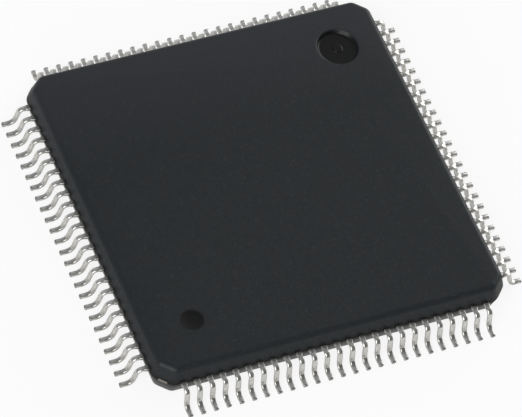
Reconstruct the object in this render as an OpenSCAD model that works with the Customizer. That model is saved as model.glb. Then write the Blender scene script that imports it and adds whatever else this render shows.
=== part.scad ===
// Quad flat pack chip: a moulded body with a row of gull-wing leads on each of its four sides,
// and inside it the stamped lead frame, the silicon die and its bond wires.
// The origin is the centre of the seating plane that the lead feet rest on. +Z points out of the top.
// The small round mark, next to the first lead, is in the -X -Y corner.

/* [Body] */
// Thickness of the moulded body
body_t = 1.4; // [1.0:0.05:1.6]
// Height of the body's underside above the seating plane
standoff = 0.08; // [0.05:0.01:0.15]
// Draft of the side walls, above and below the parting line
draft = 16; // [8:1:18]
// Distance from the last lead of a row to the body's corner, both at the parting line
corner_margin = 1.0; // [0.95:0.05:1.5]
// Leg of the chamfer that cuts each upright corner
corner_cut = 0.6; // [0.4:0.05:0.8]
// Radius that blunts the two upright edges of each chamfer
corner_r = 0.9; // [0.4:0.05:1.2]
// Radius of the edge round the top face
top_edge_r = 0.24; // [0.1:0.01:0.3]
// Radius of the edge round the underside
bottom_edge_r = 0.08; // [0.04:0.01:0.2]

/* [Marks on the body] */
// Distance from the body's sides to the centre of each round mark
mark_inset = 2.05; // [1.5:0.05:3]
// Diameter of the small mark at the first lead
pin_mark_d = 0.9; // [0.6:0.05:1.2]
// Depth of the small mark at the first lead
pin_mark_depth = 0.04; // [0.03:0.01:0.1]
// Width of the small mark's sloping wall
pin_mark_wall = 0.1; // [0.02:0.01:0.15]
// Diameter at the top face of the recess that the large ejector pin leaves
ejector_d = 1.6; // [1.2:0.05:2]
// Depth of the recess that the large ejector pin leaves
ejector_depth = 0.13; // [0.06:0.01:0.16]
// Width of the recess's sloping wall
ejector_wall = 0.08; // [0.03:0.01:0.12]
// Diameter of the low round boss in the middle of the recess
ejector_boss_d = 0.34; // [0.2:0.02:0.5]
// Height of that boss
ejector_boss_h = 0.025; // [0.01:0.005:0.05]
// Depth of the ejector marks on the underside
under_mark_depth = 0.05; // [0.03:0.01:0.08]

/* [Leads] */
// Leads in each row
leads_per_side = 25; // [21:1:29]
// Distance from one lead's centre to the next
lead_pitch = 0.5; // [0.45:0.01:0.65]
// Thickness of the lead frame
lead_t = 0.127; // [0.1:0.001:0.16]
// Width of the bent part of a lead
lead_w = 0.18; // [0.14:0.01:0.22]
// Width of a lead's shoulder, where the dam bar was cut away
shoulder_w = 0.23; // [0.18:0.01:0.27]
// Length of the wide shoulder outside the body
dam_len = 0.12; // [0.06:0.01:0.15]
// Straight run of a lead from the body's side to its first bend
shoulder_len = 0.23; // [0.18:0.01:0.28]
// Radius of the first bend, at the middle of the metal
shoulder_r = 0.19; // [0.14:0.01:0.22]
// Radius of the heel bend, at the middle of the metal
heel_r = 0.28; // [0.18:0.01:0.3]
// Angle between the seating plane and the leg of a lead
leg_angle = 78; // [70:1:84]
// Distance from the body's side to the toe of a lead
lead_reach = 1.0; // [0.95:0.05:1.3]

/* [Lead frame inside the body] */
// Side of the square die paddle
paddle_w = 6.4; // [5.6:0.1:7.4]
// How far the paddle is pressed down below the leads
downset = 0.2; // [0.14:0.01:0.3]
// Width of the four tie bars that carry the paddle
tie_bar_w = 0.34; // [0.2:0.01:0.4]
// Length of the slope between a tie bar and the paddle, seen from above
tie_slope = 0.3; // [0.2:0.05:0.5]
// Gap from the paddle's edge to the tips of the inner leads
tip_gap = 0.5; // [0.35:0.05:0.7]
// Clearance from the outermost inner leads to the tie bars, along the row
tie_clearance = 0.42; // [0.35:0.01:0.6]
// Width of an inner lead at its tip
tip_w = 0.13; // [0.1:0.01:0.15]
// Straight run of a lead inside the body, before it turns towards the paddle
anchor_len = 0.4; // [0.3:0.05:0.6]

/* [Die and bond wires] */
// Side of the square silicon die
die_w = 4.6; // [3.6:0.1:5.2]
// Thickness of the die
die_t = 0.28; // [0.2:0.01:0.34]
// Thickness of the layer of die-attach adhesive
attach_t = 0.025; // [0.015:0.005:0.05]
// How far the adhesive stands out round the die
attach_lip = 0.08; // [0.04:0.01:0.15]
// Distance from the die's edge to the centres of its bond pads
pad_inset = 0.1; // [0.06:0.01:0.2]
// Distance from the die's corner to the first bond pad of a row
pad_corner = 0.28; // [0.2:0.02:0.6]
// Thickness of a bond wire
wire_d = 0.025; // [0.02:0.001:0.033]
// Rise of a wire's loop above its ball bond
loop_h = 0.17; // [0.12:0.01:0.24]
// Radius of the knee where a wire turns over towards its lead
wire_knee_r = 0.06; // [0.04:0.01:0.1]
// Diameter of the ball bond on the die
ball_d = 0.07; // [0.05:0.005:0.09]
// Height of the ball bond
ball_h = 0.02; // [0.016:0.001:0.03]
// Diameter of the flattened stitch bond on a lead
stitch_d = 0.06; // [0.045:0.005:0.08]
// Height of the stitch bond
stitch_h = 0.018; // [0.015:0.001:0.02]
// Distance from an inner lead's tip to its stitch bond
stitch_inset = 0.12; // [0.08:0.01:0.2]

/* [Hidden] */

// Direction that each row of leads points in, as a turn about Z
SOUTH = -90;
EAST = 0;
NORTH = 90;
WEST = 180;

// Heights
body_bottom_z = standoff;
parting_z = standoff + body_t / 2;
body_top_z = standoff + body_t;
paddle_z = parting_z - downset;
attach_z = paddle_z + lead_t / 2;
die_z = attach_z + attach_t;
die_top_z = die_z + die_t;
lead_top_z = parting_z + lead_t / 2;

// The body is as wide as its rows of leads and the margin at each corner need
row_len = (leads_per_side - 1) * lead_pitch;
body_w = row_len + 2 * corner_margin;
side_dist = body_w / 2;
cut_dist = (body_w - corner_cut) / sqrt(2);
cut_vertex = [side_dist, side_dist - corner_cut];
blunt_turn = 22.5;
blunt_dist = cut_vertex.x * cos(blunt_turn) + cut_vertex.y * sin(blunt_turn)
    - corner_r * (1 / cos(blunt_turn) - 1);
mark_place = side_dist - mark_inset;

// Plan of the leads inside the body
tip_u = paddle_w / 2 + tip_gap;
kink_u = side_dist - anchor_len;
tip_pitch = 2 * (tip_u - tie_bar_w / sqrt(2) - tie_clearance) / (leads_per_side - 1);

// Plan of the bond pads
pad_u = die_w / 2 - pad_inset;
pad_pitch = (die_w - 2 * pad_corner) / (leads_per_side - 1);

// Length past every edge for cuts
past = 1;
arc_steps = 8;
$fn = 48;

// The bonds are so small that flat sides stand for their round ones
BOND_SIDES = 12;

// Middle of a row counts as zero, so the first lead has a negative number
function from_middle(i) = i - (leads_per_side - 1) / 2;

// Points of a round edge about centre c, from angle a0 to angle a1
function arc(c, r, a0, a1, steps = arc_steps) =
    [for (k = [0 : steps]) c + r * [cos(a0 + (a1 - a0) * k / steps), sin(a0 + (a1 - a0) * k / steps)]];

// How far a drafted wall leans in at height z
function lean(z) = abs(z - parting_z) * tan(draft);

// Right half of the body's section where its wall is d from the middle at the parting line
function half_section(d) =
    let (
        low_z = body_bottom_z + bottom_edge_r,
        high_z = body_top_z - top_edge_r,
        low = [d - lean(low_z) - bottom_edge_r / cos(draft), low_z],
        high = [d - lean(high_z) - top_edge_r / cos(draft), high_z]
    )
    concat(arc(low, bottom_edge_r, -90, -draft), [[d, parting_z]], arc(high, top_edge_r, draft, 90));

function reversed(points) = [for (k = [len(points) - 1 : -1 : 0]) points[k]];

function mirrored(points) = [for (point = reversed(points)) [-point.x, point.y]];

// Direction of the run that ends at point k of a line, or of the first run
function run_turn(line, k) =
    let (end = max(k, 1), run = line[end] - line[end - 1])
    atan2(run.y, run.x);

// A line moved sideways by off, to its left, with mitred corners
function beside(line, off) =
    [for (k = [0 : len(line) - 1])
        let (
            before = run_turn(line, k),
            after = run_turn(line, min(k + 1, len(line) - 1)),
            middle = (before + after) / 2
        )
        line[k] + off / cos((after - before) / 2) * [-sin(middle), cos(middle)]
    ];

// Upright strip of metal: even in thickness along its side view, a line of [out, height] points
module strip(line, thickness, width) {
    rotate([90, 0, 0])
        linear_extrude(height = width, center = true)
            polygon(concat(beside(line, thickness / 2), reversed(beside(line, -thickness / 2))));
}

// One pair of opposite walls of the body, d from the middle, as an endless bar across the turn
module wall_pair(d, turn) {
    half = half_section(d);
    rotate([0, 0, turn])
        rotate([90, 0, 0])
            linear_extrude(height = 2 * (body_w + past), center = true)
                polygon(concat(half, mirrored(half)));
}

// The moulding before anything is cut from it: all its pairs of walls crossed
module moulding() {
    intersection() {
        wall_pair(side_dist, 0);
        wall_pair(side_dist, 90);
        wall_pair(cut_dist, 45);
        wall_pair(cut_dist, -45);
        for (quarter = [0, 90], side = [-1, 1])
            wall_pair(blunt_dist, quarter + side * blunt_turn);
    }
}

// Recess of the large ejector pin: a sloping wall, and a low boss in the middle of its floor
module ejector_recess() {
    floor_r = ejector_d / 2 - ejector_wall;
    boss_r = ejector_boss_d / 2;
    slope = ejector_wall / ejector_depth;
    translate([mark_place, mark_place, body_top_z])
        rotate_extrude()
            polygon([
                [0, past],
                [ejector_d / 2 + past * slope, past],
                [floor_r, -ejector_depth],
                [boss_r, -ejector_depth],
                [boss_r - ejector_boss_h, ejector_boss_h - ejector_depth],
                [0, ejector_boss_h - ejector_depth]
            ]);
}

// Small mark at the first lead: a shallow dish with a flat floor and a sloping wall
module pin_mark() {
    slope = pin_mark_wall / pin_mark_depth;
    floor_d = pin_mark_d - 2 * pin_mark_wall;
    translate([-mark_place, -mark_place, body_top_z - pin_mark_depth])
        cylinder(d1 = floor_d, d2 = floor_d + 2 * slope * past, h = past);
}

module under_marks() {
    for (end = [-1, 1])
        translate([end * mark_place, -end * mark_place, body_bottom_z + under_mark_depth - past])
            cylinder(d = ejector_d, h = past);
}

module body() {
    color([0.18, 0.19, 0.2])
        difference() {
            moulding();
            ejector_recess();
            pin_mark();
            under_marks();
            paddle_and_ties();
            attach_layer();
            die_block();
            for (side = [SOUTH, EAST, NORTH, WEST]) {
                inner_lead_row(side);
                wire_row(side);
            }
        }
}

// Side view of one tie bar along its diagonal: level at its outer end, then down to the paddle
function tie_line() =
    let (corner = paddle_w / sqrt(2))
    [
        [corner - tie_bar_w, paddle_z],
        [corner, paddle_z],
        [corner + tie_slope, parting_z],
        [cut_dist, parting_z]
    ];

module paddle_and_ties() {
    union() {
        translate([-paddle_w / 2, -paddle_w / 2, paddle_z - lead_t / 2])
            cube([paddle_w, paddle_w, lead_t]);
        for (turn = [45 : 90 : 315])
            rotate([0, 0, turn])
                strip(tie_line(), lead_t, tie_bar_w);
    }
}

module die_paddle() {
    color([0.72, 0.45, 0.3])
        paddle_and_ties();
}

module attach_layer() {
    attach_w = die_w + 2 * attach_lip;
    translate([-attach_w / 2, -attach_w / 2, attach_z])
        cube([attach_w, attach_w, attach_t]);
}

module die_attach() {
    color([0.6, 0.6, 0.58])
        attach_layer();
}

module die_block() {
    translate([-die_w / 2, -die_w / 2, die_z])
        cube([die_w, die_w, die_t]);
}

module die() {
    color([0.35, 0.37, 0.42])
        die_block();
}

// Flat part of lead i, from its tip at the paddle to the cut dam bar outside the body
module inner_lead(i) {
    tip_v = from_middle(i) * tip_pitch;
    root_v = from_middle(i) * lead_pitch;
    dam_u = side_dist + dam_len;
    translate([0, 0, parting_z - lead_t / 2])
        linear_extrude(height = lead_t)
            polygon([
                [tip_u, tip_v - tip_w / 2],
                [kink_u, root_v - shoulder_w / 2],
                [dam_u, root_v - shoulder_w / 2],
                [dam_u, root_v + shoulder_w / 2],
                [kink_u, root_v + shoulder_w / 2],
                [tip_u, tip_v + tip_w / 2]
            ]);
}

module inner_lead_row(side) {
    rotate([0, 0, side])
        for (i = [0 : leads_per_side - 1])
            inner_lead(i);
}

// Side view of a lead outside the body: shoulder, first bend, leg, heel bend and foot
function gull_line() =
    let (
        bend_u = side_dist + shoulder_len,
        foot_z = lead_t / 2,
        bend_drop = (shoulder_r + heel_r) * (1 - cos(leg_angle)),
        leg = (parting_z - foot_z - bend_drop) / sin(leg_angle),
        heel_u = bend_u + (shoulder_r + heel_r) * sin(leg_angle) + leg * cos(leg_angle)
    )
    concat(
        [[side_dist, parting_z]],
        arc([bend_u, parting_z - shoulder_r], shoulder_r, 90, 90 - leg_angle),
        arc([heel_u, foot_z + heel_r], heel_r, 270 - leg_angle, 270),
        [[side_dist + lead_reach, foot_z]]
    );

// Bent part of lead i, outside the body
module gull_wing(i) {
    translate([0, from_middle(i) * lead_pitch, 0])
        strip(gull_line(), lead_t, lead_w);
}

module lead_row(side) {
    color([0.74, 0.74, 0.72])
        rotate([0, 0, side])
            for (i = [0 : leads_per_side - 1])
                union() {
                    inner_lead(i);
                    gull_wing(i);
                }
}

module leads_south() { lead_row(SOUTH); }
module leads_east() { lead_row(EAST); }
module leads_north() { lead_row(NORTH); }
module leads_west() { lead_row(WEST); }

// Side view of a bond wire: up from the ball, round the knee and straight down to the stitch,
// which lies reach away and drop higher
function wire_line(reach, drop) =
    let (
        knee_c = [wire_knee_r, loop_h - wire_knee_r],
        stitch = [reach, drop],
        to_stitch = stitch - knee_c,
        slope = atan2(to_stitch.y, to_stitch.x) - asin(wire_knee_r / norm(to_stitch))
    )
    concat([[0, 0]], arc(knee_c, wire_knee_r, 180, 90 + slope), [stitch]);

// Bond wire i with its ball on the die and its stitch on the inner lead
module bond_wire(i) {
    ball = [pad_u, from_middle(i) * pad_pitch, die_top_z];
    along = stitch_inset / (kink_u - tip_u);
    stitch_v = from_middle(i) * (tip_pitch + (lead_pitch - tip_pitch) * along);
    stitch = [tip_u + stitch_inset, stitch_v, lead_top_z];
    run = stitch - ball;
    start_z = ball_h / 2;
    end_z = wire_d / 2;
    translate(ball) {
        cylinder(d = ball_d, h = ball_h, $fn = BOND_SIDES);
        rotate([0, 0, atan2(run.y, run.x)])
            translate([0, 0, start_z])
                strip(wire_line(norm([run.x, run.y]), run.z + end_z - start_z), wire_d, wire_d);
    }
    translate(stitch)
        cylinder(d = stitch_d, h = stitch_h, $fn = BOND_SIDES);
}

module wire_row(side) {
    rotate([0, 0, side])
        for (i = [0 : leads_per_side - 1])
            bond_wire(i);
}

module gold_wire_row(side) {
    color([0.86, 0.68, 0.32])
        wire_row(side);
}

module bond_wires_south() { gold_wire_row(SOUTH); }
module bond_wires_east() { gold_wire_row(EAST); }
module bond_wires_north() { gold_wire_row(NORTH); }
module bond_wires_west() { gold_wire_row(WEST); }

body();
die_paddle();
die_attach();
die();
leads_south();
leads_east();
leads_north();
leads_west();
bond_wires_south();
bond_wires_east();
bond_wires_north();
bond_wires_west();
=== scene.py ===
"""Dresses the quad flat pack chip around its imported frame.

The four rows of leads become plated leads with rounded edges, the body becomes a moulding with
soft edges and grained mould compound, and the pieces inside get their metals. A pale floor, soft
studio lamps and the camera follow. Lengths are in metres in the part's own frame, and small ones
are written as a number times MM.
"""

import bpy
import numpy as np
from mathutils import Matrix, Vector
from mathutils.geometry import delaunay_2d_cdt


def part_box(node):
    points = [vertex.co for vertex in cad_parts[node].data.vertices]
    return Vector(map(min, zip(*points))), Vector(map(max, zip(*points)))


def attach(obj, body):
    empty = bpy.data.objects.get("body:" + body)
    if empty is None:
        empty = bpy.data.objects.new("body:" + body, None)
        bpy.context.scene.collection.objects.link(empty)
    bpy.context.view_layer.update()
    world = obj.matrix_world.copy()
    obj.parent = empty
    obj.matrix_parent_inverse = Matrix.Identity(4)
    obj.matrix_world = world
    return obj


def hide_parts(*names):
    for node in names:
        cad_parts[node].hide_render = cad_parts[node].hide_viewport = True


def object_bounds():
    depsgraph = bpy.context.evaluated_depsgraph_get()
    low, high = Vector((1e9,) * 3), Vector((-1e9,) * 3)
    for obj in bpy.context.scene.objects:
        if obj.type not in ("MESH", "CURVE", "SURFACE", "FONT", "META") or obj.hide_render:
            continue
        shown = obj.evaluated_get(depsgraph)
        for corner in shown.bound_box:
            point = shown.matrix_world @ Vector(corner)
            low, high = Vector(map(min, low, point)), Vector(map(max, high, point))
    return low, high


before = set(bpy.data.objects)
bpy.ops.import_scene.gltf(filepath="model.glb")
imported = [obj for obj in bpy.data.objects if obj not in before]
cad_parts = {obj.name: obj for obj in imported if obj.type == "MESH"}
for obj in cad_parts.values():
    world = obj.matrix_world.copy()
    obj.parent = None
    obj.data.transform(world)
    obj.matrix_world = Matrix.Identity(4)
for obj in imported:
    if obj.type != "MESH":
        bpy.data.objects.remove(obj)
cad_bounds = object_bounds()
MM = 0.001

# ---------------------------------------------------------------- sizes of the leads
LEADS_PER_SIDE = 25
LEAD_THICKNESS = 0.127 * MM
LEAD_WIDTH = 0.18 * MM
SHOULDER_WIDTH = 0.23 * MM
TIP_WIDTH = 0.13 * MM
TIP_PITCH = 0.2533 * MM
ANCHOR_LENGTH = 0.4 * MM
DAM_LENGTH = 0.12 * MM
DAM_TAPER = 0.02 * MM
SHOULDER_LENGTH = 0.23 * MM
SHOULDER_RADIUS = 0.19 * MM
HEEL_RADIUS = 0.28 * MM
LEG_ANGLE = np.radians(78)
EDGE_RADIUS = 0.03 * MM
EDGE_STEPS = 3
BEND_STEPS = 7

# ---------------------------------------------------------------- sizes of the body
DRAFT_DEGREES = 16
CORNER_CUT = 0.6 * MM
CORNER_RADIUS = 0.5 * MM
CORNER_STEPS = 7
TOP_EDGE = 0.24 * MM
BOTTOM_EDGE = 0.08 * MM
PARTING_EDGE = 0.025 * MM
TOP_STEPS = 9
BOTTOM_STEPS = 5
PARTING_STEPS = 3
MARK_INSET = 2.05 * MM
MARK_RIM = 0.06 * MM
MARK_STEPS = 72
MARK_WALL_STEPS = 9
# Each round mark has its radius at the face, its depth and the width of its soft wall.
PIN_MARK = (0.48 * MM, 0.02 * MM, 0.3 * MM)
EJECTOR_RECESS = (0.83 * MM, 0.13 * MM, 0.14 * MM)
UNDER_MARK = (0.8 * MM, 0.05 * MM, 0.03 * MM)
BOSS_RADIUS = 0.17 * MM
BOSS_HEIGHT = 0.025 * MM
BOSS_WALL = 0.04 * MM
BOSS_WALL_STEPS = 5
FLOOR_RIM = 0.02 * MM
# The triangulation keeps the faces inside the outline and joins points nearer than this.
INSIDE_ONLY = 1
SAME_POINT = 1e-9

# ---------------------------------------------------------------- places read from the frame
BODY_LOW, BODY_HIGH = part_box("body")
ROW_LOW, ROW_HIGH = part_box("leads_east")
PARTING_HEIGHT = ROW_HIGH.z - LEAD_THICKNESS / 2
LEAD_PITCH = (ROW_HIGH.y - ROW_LOW.y - SHOULDER_WIDTH) / (LEADS_PER_SIDE - 1)
MARK_PLACE = BODY_HIGH.x - MARK_INSET
TIE_BAR_CUT = 2 * BODY_HIGH.x - CORNER_CUT - 0.3 * MM
TOE = cad_bounds[1][0]

# ---------------------------------------------------------------- camera
VIEW_TURN = np.radians(33.85)
VIEW_RISE = np.radians(53.70)
VIEW_ROLL = np.radians(14.23)
VIEW_DISTANCE = 193.40 * MM
VIEW_AIM = Vector((-0.360, -0.639, 0.7)) * MM
VIEW_LENS = 363.2


# ---------------------------------------------------------------- node helpers
def new_nodes(owner):
    """Empty node tree of a material or world."""
    owner.use_nodes = True
    owner.node_tree.nodes.clear()
    return owner.node_tree


def feed(tree, socket, value):
    """Links a socket to the input, or sets a plain number or colour on it."""
    if isinstance(value, bpy.types.NodeSocket):
        tree.links.new(value, socket)
    elif isinstance(value, tuple) and socket.type == "RGBA":
        socket.default_value = (*value, 1.0)
    else:
        socket.default_value = value


def add(tree, kind, inputs=None, **settings):
    """One node of that kind, with its properties set and its inputs fed."""
    node = tree.nodes.new(kind)
    for name, value in settings.items():
        setattr(node, name, value)
    for name, value in (inputs or {}).items():
        feed(tree, node.inputs[name], value)
    return node


def combine(tree, operation, a, b=0.0):
    """One Math node on two sockets or numbers."""
    return add(tree, "ShaderNodeMath", {0: a, 1: b}, operation=operation).outputs[0]


def mix_colour(tree, share, low, high):
    """Colour that runs from low to high as share runs from 0 to 1."""
    return add(tree, "ShaderNodeMix", {0: share, 6: low, 7: high}, data_type="RGBA").outputs[2]


def remap(tree, value, from_low, from_high, to_low=0.0, to_high=1.0):
    """Value carried from one range to another and held at its ends."""
    inputs = {"Value": value, "From Min": from_low, "From Max": from_high, "To Min": to_low,
              "To Max": to_high}
    return add(tree, "ShaderNodeMapRange", inputs).outputs[0]


def noise(tree, coordinates, size, detail=2.0, roughness=0.5):
    """Noise from 0 to 1 whose lumps are about that size."""
    inputs = {"Vector": coordinates, "Scale": 1 / size, "Detail": detail, "Roughness": roughness}
    return add(tree, "ShaderNodeTexNoise", inputs).outputs[0]


def parts_of(tree, coordinates):
    """The three coordinates of a vector socket."""
    return add(tree, "ShaderNodeSeparateXYZ", {0: coordinates}).outputs


def distance_out(tree, x, y):
    """How far out a point lies from the middle, square to the nearest side of the body."""
    return combine(tree, "MAXIMUM", combine(tree, "ABSOLUTE", x), combine(tree, "ABSOLUTE", y))


def both(tree, *masks):
    """Product of masks: 1 only where all of them are."""
    product = masks[0]
    for mask in masks[1:]:
        product = combine(tree, "MULTIPLY", product, mask)
    return product


def grain_group():
    """Node group of the fine grain: its pattern, and the roughness and normal that follow it."""
    group = bpy.data.node_groups.new("fine_grain", "ShaderNodeTree")
    inputs = {"Grain Size": 0.05 * MM, "Low Roughness": 0.3, "High Roughness": 0.4,
              "Depth": 0.001 * MM}
    group.interface.new_socket("Coordinates", in_out="INPUT", socket_type="NodeSocketVector")
    for name, value in inputs.items():
        socket = group.interface.new_socket(name, in_out="INPUT", socket_type="NodeSocketFloat")
        socket.default_value = value
    for name, kind in {"Grain": "Float", "Roughness": "Float", "Normal": "Vector"}.items():
        group.interface.new_socket(name, in_out="OUTPUT", socket_type=f"NodeSocket{kind}")
    given = add(group, "NodeGroupInput").outputs
    scale = combine(group, "DIVIDE", 1.0, given["Grain Size"])
    grain = add(group, "ShaderNodeTexNoise", {
        "Vector": given["Coordinates"], "Scale": scale, "Detail": 3.0, "Roughness": 0.6,
    }).outputs[0]
    relief = add(group, "ShaderNodeBump", {"Height": grain, "Distance": given["Depth"]})
    roughness = remap(group, grain, 0.3, 0.7, given["Low Roughness"], given["High Roughness"])
    add(group, "NodeGroupOutput", {
        "Grain": grain,
        "Roughness": roughness,
        "Normal": relief.outputs[0],
    })
    return group


FINE_GRAIN = grain_group()


def fine_grain(tree, place, size, low, high, depth):
    """The grain group placed in a material: its pattern, roughness and normal."""
    values = {"Coordinates": place, "Grain Size": size, "Low Roughness": low,
              "High Roughness": high, "Depth": depth}
    node = tree.nodes.new("ShaderNodeGroup")
    node.node_tree = FINE_GRAIN
    for name, value in values.items():
        feed(tree, node.inputs[name], value)
    return node.outputs["Grain"], node.outputs["Roughness"], node.outputs["Normal"]


def finish_material(name, build):
    """Material whose surface shader the function build adds to its empty tree."""
    material = bpy.data.materials.new(name)
    tree = new_nodes(material)
    place = add(tree, "ShaderNodeTexCoord").outputs["Object"]
    shader = build(tree, place)
    add(tree, "ShaderNodeOutputMaterial", {"Surface": shader.outputs[0]})
    return material


# ---------------------------------------------------------------- materials
def mould_compound(tree, place):
    """Black filled epoxy, matt and finely grained, darker in its marks, with painted shade at its
    parting line.

    A painted sheen lightens the face towards +Y, and pale filler grains show here and there.
    """
    _, y, z = parts_of(tree, place)
    cloud = noise(tree, place, 2.2 * MM, 4)
    blotch = noise(tree, place, 0.35 * MM, 2)
    speckle = noise(tree, place, 0.09 * MM, 2, 0.6)
    _, roughness, normal = fine_grain(tree, place, 0.07 * MM, 0.40, 0.52, 0.004 * MM)
    # Painted sheen: the face's colour is lightened towards +Y, where it reflects more light.
    painted_sheen = remap(tree, y, 2.5 * MM, 7 * MM)

    tint = mix_colour(tree, cloud, (0.0129, 0.0177, 0.0206), (0.0157, 0.0205, 0.0236))
    tint = mix_colour(tree, remap(tree, blotch, 0.4, 0.7), tint, (0.0167, 0.0189, 0.0222))
    # The painted sheen lightens the tint towards +Y.
    tint = mix_colour(tree, painted_sheen, tint, (0.0283, 0.0304, 0.0361))
    tint = mix_colour(tree, remap(tree, speckle, 0.55, 0.85), tint, (0.0393, 0.0419, 0.0456))

    flat = add(tree, "ShaderNodeVectorMath", {0: place, 1: (1.0, 1.0, 0.0)}, operation="MULTIPLY")
    fade = 0.08 * MM
    inside = 0.0
    for corner, radius in ((1, EJECTOR_RECESS[0]), (-1, PIN_MARK[0])):
        centre = (corner * MARK_PLACE, corner * MARK_PLACE, 0.0)
        reach = add(tree, "ShaderNodeVectorMath", {0: flat.outputs[0], 1: centre},
                    operation="DISTANCE").outputs["Value"]
        inside = combine(tree, "ADD", inside, remap(tree, reach, radius - fade, radius, 1, 0))
    near_top = remap(tree, z, BODY_HIGH.z - 0.28 * MM, BODY_HIGH.z - 0.18 * MM)
    inside = both(tree, inside, near_top)
    off_parting = combine(tree, "ABSOLUTE", combine(tree, "SUBTRACT", z, PARTING_HEIGHT))
    # Painted shade: the walls are painted darker near the parting line, where the leads and the
    # shadowed floor darken them.
    painted_parting_shade = remap(tree, off_parting, 0.05 * MM, 0.25 * MM, 1, 0)
    mark_polish = both(tree, inside, 0.12)
    lower_polish = remap(tree, z, 0.4 * MM, 0.7 * MM, 0.2, 0)
    polish = combine(tree, "MAXIMUM", mark_polish, lower_polish)
    # Dark tone of the marks, together with the painted shade at the parting line.
    dark = combine(tree, "MAXIMUM", inside, painted_parting_shade)
    return add(tree, "ShaderNodeBsdfPrincipled", {
        "Base Color": mix_colour(tree, dark, tint, (0.0016, 0.0018, 0.0018)),
        "Roughness": combine(tree, "SUBTRACT", roughness, polish),
        "Specular IOR Level": 0.34,
        "Normal": normal,
    })


def tin_plating(tree, place):
    """Satin tin over the lead frame, softly mottled, oxidised at the cut toe, with painted shade at
    the root and heel.
    """
    x, y, z = parts_of(tree, place)
    out = distance_out(tree, x, y)
    mottle = noise(tree, place, 0.12 * MM, 3)
    _, roughness, normal = fine_grain(tree, place, 0.03 * MM, 0.18, 0.28, 0.0015 * MM)
    # Painted shade: the lead is painted darker at its root, where it reflects the dark body.
    root = remap(tree, out, BODY_HIGH.x, BODY_HIGH.x + 0.25 * MM, 0.9, 0)
    # Painted shade: the heel is painted darker low down, where it reflects the shadowed floor.
    heel = both(tree, remap(tree, z, 0.14 * MM, 0.5 * MM, 0.3, 0),
                remap(tree, out, TOE - 0.26 * MM, TOE - 0.16 * MM, 1, 0))
    toe = remap(tree, out, TOE - 0.07 * MM, TOE - 0.01 * MM, 0, 0.6)
    # Oxide at the cut toe, together with the painted shade at the root and heel.
    toe_oxide_and_painted_shade = combine(tree, "MAXIMUM", combine(tree, "MAXIMUM", root, heel), toe)
    bright = mix_colour(tree, remap(tree, mottle, 0.3, 0.7), (0.76, 0.75, 0.72), (0.92, 0.91, 0.88))
    return add(tree, "ShaderNodeBsdfPrincipled", {
        "Base Color": mix_colour(tree, toe_oxide_and_painted_shade, bright, (0.12, 0.115, 0.10)),
        "Metallic": 1.0,
        "Roughness": roughness,
        "Normal": normal,
    })


def inner_finish(low, high, roughness, grain_size, metallic, cut_tone=None):
    """Finish of a piece inside the body: a mottled tone with a faint grain.

    Where a cut tone is given, the piece has it on ends that show in the body's chamfers.
    """
    def build(tree, place):
        grain, rough, normal = fine_grain(tree, place, grain_size, roughness - 0.05,
                                          roughness + 0.05, 0.001 * MM)
        tone = mix_colour(tree, grain, low, high)
        if cut_tone:
            x, y, _ = parts_of(tree, place)
            reach = combine(tree, "ADD", combine(tree, "ABSOLUTE", x), combine(tree, "ABSOLUTE", y))
            at_cut = remap(tree, reach, TIE_BAR_CUT, TIE_BAR_CUT + 0.1 * MM)
            tone = mix_colour(tree, at_cut, tone, cut_tone)
        return add(tree, "ShaderNodeBsdfPrincipled", {
            "Base Color": tone,
            "Metallic": metallic,
            "Roughness": rough,
            "Normal": normal,
        })
    return build


# ---------------------------------------------------------------- meshes
def new_piece(name, points, faces):
    """Smooth object at the origin, whose mesh has those points and faces."""
    mesh = bpy.data.meshes.new(name)
    mesh.from_pydata(points, [], faces)
    mesh.shade_smooth()
    piece = bpy.data.objects.new(name, mesh)
    bpy.context.scene.collection.objects.link(piece)
    return piece


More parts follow.
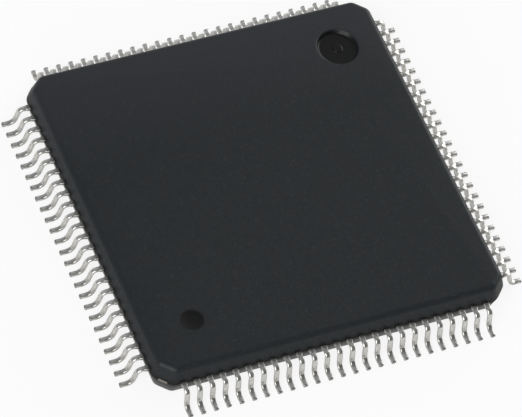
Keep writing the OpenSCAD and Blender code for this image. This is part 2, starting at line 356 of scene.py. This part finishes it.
# ---------------------------------------------------------------- leads
def lead_stations():
    """Stations along a lead in its own upright plane, from the tip inside to the toe.

    The centre line runs level to the first bend, turns down about a centre below it, follows
    the straight leg, turns level again about a centre above it and ends at the toe. The rows
    returned are distance out, height, slope, width, how far the section is drawn in, and the
    share of the way from the tip's place in its row to the outer lead's.
    """
    foot_z = LEAD_THICKNESS / 2
    bend_u = BODY_HIGH.x + SHOULDER_LENGTH
    dam_u = BODY_HIGH.x + DAM_LENGTH
    slope = np.linspace(0, LEG_ANGLE, BEND_STEPS)
    turned_z = (SHOULDER_RADIUS + HEEL_RADIUS) * (1 - np.cos(LEG_ANGLE))
    leg = (PARTING_HEIGHT - foot_z - turned_z) / np.sin(LEG_ANGLE)
    first_u = bend_u + SHOULDER_RADIUS * np.sin(slope)
    first_z = PARTING_HEIGHT - SHOULDER_RADIUS * (1 - np.cos(slope))
    heel_u = first_u[-1] + leg * np.cos(LEG_ANGLE) + HEEL_RADIUS * np.sin(LEG_ANGLE)
    second_u = heel_u - HEEL_RADIUS * np.sin(slope[::-1])
    second_z = foot_z + HEEL_RADIUS * (1 - np.cos(slope[::-1]))
    level_u = [ROW_LOW.x, BODY_HIGH.x - ANCHOR_LENGTH, dam_u - DAM_TAPER, dam_u]
    level_width = [TIP_WIDTH, SHOULDER_WIDTH, SHOULDER_WIDTH, LEAD_WIDTH]
    toe_turn = np.linspace(0, np.pi / 2, EDGE_STEPS)
    toe_steps = TOE - EDGE_RADIUS * (1 - np.sin(toe_turn))
    toe_inset = EDGE_RADIUS * (1 - np.cos(toe_turn))

    u = np.concatenate([level_u, first_u, second_u, toe_steps])
    bends_z = np.concatenate([first_z, second_z])
    level_z = np.full(len(level_u), PARTING_HEIGHT)
    z = np.concatenate([level_z, bends_z, np.full(len(toe_turn), foot_z)])
    tilt = np.zeros(len(u))
    tilt[len(level_u):len(u) - len(toe_turn)] = np.concatenate([slope, slope[::-1]])
    width = np.full(len(u), LEAD_WIDTH)
    width[:len(level_u)] = level_width
    inset = np.zeros(len(u))
    inset[-len(toe_turn):] = toe_inset
    share = np.ones(len(u))
    share[0] = 0
    return u, z, tilt, width, inset, share


def section_ring():
    """Ring of a rounded rectangle, anticlockwise: corner signs and directions of its points."""
    turn = np.linspace(0, np.pi / 2, EDGE_STEPS)
    angle = (np.arange(4)[:, None] * np.pi / 2 + turn).ravel()
    signs = np.array([(1, 1), (-1, 1), (-1, -1), (1, -1)]).repeat(EDGE_STEPS, axis=0)
    return signs, np.stack([np.cos(angle), np.sin(angle)], 1)


def lead_row(name, turn):
    """A row of leads: a rounded rectangle carried along the lead's centre line, once a lead.

    A point of the ring lies off the centre line by its share of the width, along the row, and
    by its share of the thickness, square to the slope. The row is then turned to its side.
    """
    u, z, tilt, width, inset, share = lead_stations()
    signs, directions = section_ring()
    number = np.arange(LEADS_PER_SIDE) - (LEADS_PER_SIDE - 1) / 2
    row_v = number[:, None] * (TIP_PITCH + (LEAD_PITCH - TIP_PITCH) * share)
    half_width = (width / 2 - EDGE_RADIUS - inset)[:, None]
    half_thickness = (LEAD_THICKNESS / 2 - EDGE_RADIUS - inset / 2)[:, None]
    across = signs[:, 0] * half_width + directions[:, 0] * EDGE_RADIUS
    up = signs[:, 1] * half_thickness + directions[:, 1] * EDGE_RADIUS
    out = u[:, None] + up * np.sin(tilt)[:, None]
    high = z[:, None] + up * np.cos(tilt)[:, None]

    points = np.empty((LEADS_PER_SIDE, len(u), len(signs), 3))
    along = row_v[:, :, None] + across
    points[..., 0] = out * np.cos(turn) - along * np.sin(turn)
    points[..., 1] = out * np.sin(turn) + along * np.cos(turn)
    points[..., 2] = high

    index = np.arange(points[..., 0].size).reshape(points.shape[:3])
    after = np.roll(index, -1, axis=2)
    quads = np.stack([index[:, :-1], after[:, :-1], after[:, 1:], index[:, 1:]], -1)
    faces = quads.reshape(-1, 4).tolist()
    faces += index[:, 0, ::-1].tolist()
    faces += index[:, -1].tolist()
    return new_piece(name, points.reshape(-1, 3), faces)


# ---------------------------------------------------------------- body
def edge_arc(u, z, radius, start, end, steps):
    """Points of an arc about (u, z), as distance out and height, between angles in degrees."""
    angle = np.radians(np.linspace(start, end, steps))
    return np.stack([u + radius * np.cos(angle), z + radius * np.sin(angle)], 1)


def wall_profile():
    """Section of the body's wall from the underside up: edge, wall, parting edge, wall, edge.

    A wall leans in by the tangent of the draft for each unit of height off the parting line,
    and each edge is an arc that touches the faces on both of its sides.
    """
    draft = np.radians(DRAFT_DEGREES)
    bottom_z = BODY_LOW.z + BOTTOM_EDGE
    top_z = BODY_HIGH.z - TOP_EDGE
    side = BODY_HIGH.x
    bottom_u = side - (PARTING_HEIGHT - bottom_z) * np.tan(draft) - BOTTOM_EDGE / np.cos(draft)
    parting_u = side - PARTING_EDGE / np.cos(draft)
    top_u = side - (top_z - PARTING_HEIGHT) * np.tan(draft) - TOP_EDGE / np.cos(draft)
    return np.concatenate([
        edge_arc(bottom_u, bottom_z, BOTTOM_EDGE, -90, -DRAFT_DEGREES, BOTTOM_STEPS),
        edge_arc(parting_u, PARTING_HEIGHT, PARTING_EDGE, -DRAFT_DEGREES, DRAFT_DEGREES,
                 PARTING_STEPS),
        edge_arc(top_u, top_z, TOP_EDGE, DRAFT_DEGREES, 90, TOP_STEPS),
    ])


def outline_rings(profile):
    """Profile carried round the eight-sided outline: a ring of points for each of its points.

    A corner's arc keeps its centre at every height. Its radius is CORNER_RADIUS less what the
    wall leans in there, so the rings stay parallel.
    """
    side = BODY_HIGH.x
    step = np.pi / 4
    turn = np.arange(8) * step
    corner = (2 * side - CORNER_CUT) / np.sqrt(2)
    reach = np.where(np.arange(8) % 2, corner, side) - CORNER_RADIUS
    ahead = (np.roll(reach, -1) - reach * np.cos(step)) / np.sin(step)
    normal = np.stack([np.cos(turn), np.sin(turn)], 1)
    tangent = np.stack([-np.sin(turn), np.cos(turn)], 1)
    centre = reach[:, None] * normal + ahead[:, None] * tangent
    angle = turn[:, None] + np.linspace(0, step, CORNER_STEPS)
    direction = np.stack([np.cos(angle), np.sin(angle)], -1)
    radius = CORNER_RADIUS - side + profile[:, 0]
    flat = centre[:, None] + direction * radius[:, None, None, None]
    rings = np.empty((len(profile), angle.size, 3))
    rings[..., :2] = flat.reshape(len(profile), -1, 2)
    rings[..., 2] = profile[:, 1, None]
    return rings


def dish(radius, depth, wall):
    """Section of a dish, rows of radius and height: its flat rim, then a wall down to the floor.

    The wall is half a cosine wave, so it bends softly out of the face and into the floor.
    """
    share = np.linspace(0, 1, MARK_WALL_STEPS)
    slope = np.stack([radius - wall * share, depth * (np.cos(np.pi * share) - 1) / 2], 1)
    return np.concatenate([[(radius + MARK_RIM, 0)], slope, [(radius - wall - FLOOR_RIM, -depth)]])


def boss(depth):
    """Section of the low boss on the recess's floor, rows of radius and height."""
    share = np.linspace(0, 1, BOSS_WALL_STEPS)
    rise = BOSS_HEIGHT * (1 - np.cos(np.pi * share)) / 2
    slope = np.stack([BOSS_RADIUS + BOSS_WALL * (1 - share), rise - depth], 1)
    foot = (BOSS_RADIUS + BOSS_WALL + FLOOR_RIM, -depth)
    top = (BOSS_RADIUS - FLOOR_RIM, BOSS_HEIGHT - depth)
    return np.concatenate([[foot], slope, [top]])


def turned(section, x, y, z, up):
    """Section turned about the upright axis at (x, y), anticlockwise seen from outside the face.

    The face lies at height z and looks up where up is 1 and down where it is -1.
    """
    angle = up * np.arange(MARK_STEPS) * 2 * np.pi / MARK_STEPS
    rings = np.empty((len(section), MARK_STEPS, 3))
    rings[..., 0] = x + section[:, 0, None] * np.cos(angle)
    rings[..., 1] = y + section[:, 0, None] * np.sin(angle)
    rings[..., 2] = z + up * section[:, 1, None]
    return rings


def ring_faces(rings, first):
    """Quads between each ring and the next, and the numbers of the rings' points from first on."""
    index = first + np.arange(rings.shape[0] * rings.shape[1]).reshape(rings.shape[:2])
    after = np.roll(index, -1, axis=1)
    quads = np.stack([index[:-1], after[:-1], after[1:], index[1:]], -1)
    return quads.reshape(-1, 4).tolist(), index


def flat_face(outline, holes, points, up):
    """Triangles of a level face between its outline and its round holes, as point numbers."""
    loops = [outline, *holes]
    order = np.concatenate(loops)
    edges = []
    start = 0
    for loop in loops:
        ends = np.arange(len(loop))
        edges += np.stack([start + ends, start + np.roll(ends, -1)], 1).tolist()
        start += len(loop)
    flat = [Vector(point) for point in points[order, :2]]
    _, _, faces, sources, _, _ = delaunay_2d_cdt(flat, edges, [], INSIDE_ONLY, SAME_POINT)
    numbers = np.array([source[0] for source in sources])
    triangles = order[numbers[np.array(faces)]]
    middle = points[triangles].mean(axis=1)[:, :2]
    keep = np.ones(len(triangles), bool)
    for hole in holes:
        centre = points[hole].mean(axis=0)[:2]
        reach = np.linalg.norm(points[hole[0], :2] - centre)
        keep &= np.linalg.norm(middle - centre, axis=1) > reach
    triangles = triangles[keep]
    a, b, c = points[triangles[:, 0]], points[triangles[:, 1]], points[triangles[:, 2]]
    turned_over = np.cross(b - a, c - a)[:, 2] * up < 0
    triangles[turned_over] = triangles[turned_over][:, ::-1]
    return triangles.tolist()


def moulding(name):
    """The body's skin: its walls, its two level faces and the round marks sunk in them."""
    outline = outline_rings(wall_profile())
    low_z, high_z = BODY_LOW.z, BODY_HIGH.z
    recess = np.concatenate([dish(*EJECTOR_RECESS), boss(EJECTOR_RECESS[1])])
    marks = [
        turned(recess, MARK_PLACE, MARK_PLACE, high_z, 1),
        turned(dish(*PIN_MARK), -MARK_PLACE, -MARK_PLACE, high_z, 1),
        turned(dish(*UNDER_MARK), MARK_PLACE, -MARK_PLACE, low_z, -1),
        turned(dish(*UNDER_MARK), -MARK_PLACE, MARK_PLACE, low_z, -1),
    ]
    points = np.concatenate([part.reshape(-1, 3) for part in [outline, *marks]])
    faces, index = ring_faces(outline, 0)
    rims = []
    first = index.size
    for rings in marks:
        quads, mark_index = ring_faces(rings, first)
        faces += quads
        faces.append(mark_index[-1].tolist())
        rims.append(mark_index[0])
        first += mark_index.size
    faces += flat_face(index[-1], rims[:2], points, 1)
    faces += flat_face(index[0], rims[2:], points, -1)
    return new_piece(name, points, faces)


# ---------------------------------------------------------------- studio
def view_camera():
    """Long lens that looks down at the chip across its first-lead corner."""
    ahead = Vector((np.sin(VIEW_TURN) * np.cos(VIEW_RISE), np.cos(VIEW_TURN) * np.cos(VIEW_RISE),
                    -np.sin(VIEW_RISE)))
    level = Vector((np.cos(VIEW_TURN), -np.sin(VIEW_TURN), 0))
    upright = level.cross(ahead)
    right = level * np.cos(VIEW_ROLL) + upright * np.sin(VIEW_ROLL)
    top = right.cross(ahead)
    data = bpy.data.cameras.new("camera")
    data.lens = VIEW_LENS
    data.clip_start = 1 * MM
    camera = bpy.data.objects.new("camera", data)
    axes = Matrix((right, top, -ahead)).transposed().to_4x4()
    camera.matrix_world = Matrix.Translation(VIEW_AIM - ahead * VIEW_DISTANCE) @ axes
    bpy.context.scene.collection.objects.link(camera)
    bpy.context.scene.camera = camera


def softbox(name, direction, distance, size, strength, colour):
    """Square soft lamp that faces the chip from that direction. Its power grows with its area."""
    data = bpy.data.lights.new(name, "AREA")
    data.size = size
    data.energy = strength * size * size
    data.color = colour
    lamp = bpy.data.objects.new(name, data)
    toward = Vector(direction).normalized()
    lamp.matrix_world = (Matrix.Translation(toward * distance)
                         @ toward.to_track_quat("Z", "Y").to_matrix().to_4x4())
    lamp.visible_camera = False
    bpy.context.scene.collection.objects.link(lamp)


def lightened(tree, tone, glow):
    """Diffuse shader of that tone with a steady white glow added."""
    base = add(tree, "ShaderNodeBsdfDiffuse", {"Color": tone}).outputs[0]
    light = add(tree, "ShaderNodeEmission", {"Color": (1.0, 1.0, 1.0), "Strength": glow})
    return add(tree, "ShaderNodeAddShader", {0: base, 1: light.outputs[0]}).outputs[0]


def choose(tree, share, first, second):
    """Shader that is the first where share is 0 and the second where it is 1."""
    return add(tree, "ShaderNodeMixShader", {0: share, 1: first, 2: second}).outputs[0]


def studio_floor(size):
    """White floor just below the feet, which keeps the chip's soft shadow.

    The camera sees it lighter than the lamps make it, and shiny faces see it a little dimmer.
    """
    half = size / 2
    depth = -0.004 * MM
    corners = [(-half, -half, depth), (half, -half, depth), (half, half, depth),
               (-half, half, depth)]
    floor = new_piece("floor", corners, [(0, 1, 2, 3)])
    material = bpy.data.materials.new("white_floor")
    tree = new_nodes(material)
    path = add(tree, "ShaderNodeLightPath")
    lit = add(tree, "ShaderNodeBsdfDiffuse", {"Color": (0.8, 0.8, 0.8)}).outputs[0]
    mirrored = lightened(tree, (0.45, 0.44, 0.42), 0.36)
    shown = lightened(tree, (0.18, 0.18, 0.18), 0.85)
    surface = choose(tree, path.outputs["Is Glossy Ray"], lit, mirrored)
    surface = choose(tree, path.outputs["Is Camera Ray"], surface, shown)
    add(tree, "ShaderNodeOutputMaterial", {"Surface": surface})
    floor.data.materials.append(material)


def studio_world():
    """Dim grey room, lighter towards +Y than behind the camera."""
    world = bpy.data.worlds.new("studio")
    bpy.context.scene.world = world
    tree = new_nodes(world)
    direction = add(tree, "ShaderNodeTexCoord").outputs["Generated"]
    north = add(tree, "ShaderNodeSeparateXYZ", {0: direction}).outputs["Y"]
    share = combine(tree, "POWER", remap(tree, north, -1.0, 1.0), 2.0)
    shade = mix_colour(tree, share, (0.14, 0.142, 0.145), (0.46, 0.47, 0.48))
    sky = add(tree, "ShaderNodeBackground", {"Color": shade, "Strength": 1.0})
    add(tree, "ShaderNodeOutputWorld", {"Surface": sky.outputs[0]})


# ---------------------------------------------------------------- the chip
def dress(node, material):
    """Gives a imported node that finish, in place of its own."""
    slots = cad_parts[node].data.materials
    slots.clear()
    slots.append(material)


def stand_in(piece, node, material):
    """Puts a piece in a node's place, with that finish."""
    piece.data.materials.append(material)
    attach(piece, "root")
    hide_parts(node)


def chip():
    """Dresses the pieces inside, and puts the moulding and the rows of leads in place."""
    tin = finish_material("tin_plating", tin_plating)
    gold = finish_material("gold_wire", inner_finish(
        (0.85, 0.60, 0.22), (0.95, 0.72, 0.32), 0.25, 0.05 * MM, 1.0))
    dress("die_paddle", finish_material("copper_frame", inner_finish(
        (0.70, 0.42, 0.30), (0.82, 0.52, 0.38), 0.45, 0.2 * MM, 1.0, (0.36, 0.33, 0.29))))
    dress("die_attach", finish_material("silver_adhesive", inner_finish(
        (0.45, 0.45, 0.44), (0.62, 0.62, 0.60), 0.5, 0.1 * MM, 0.6)))
    dress("die", finish_material("silicon", inner_finish(
        (0.20, 0.22, 0.27), (0.26, 0.28, 0.33), 0.15, 0.5 * MM, 0.8)))
    stand_in(moulding("moulded_body"), "body",
             finish_material("mould_compound", mould_compound))
    for side, degrees in {"south": -90, "east": 0, "north": 90, "west": 180}.items():
        dress(f"bond_wires_{side}", gold)
        row = lead_row(f"plated_leads_{side}", np.radians(degrees))
        stand_in(row, f"leads_{side}", tin)


view_camera()
chip()
studio_floor(size=4.0)
studio_world()
softbox("key", direction=(0.85, 0.38, 0.30), distance=0.4, size=0.3, strength=8,
        colour=(1.0, 0.985, 0.96))
softbox("fill", direction=(-0.6, -0.55, 0.58), distance=0.45, size=0.4, strength=9,
        colour=(1.0, 1.0, 1.0))
bpy.context.scene.view_settings.view_transform = "Standard"
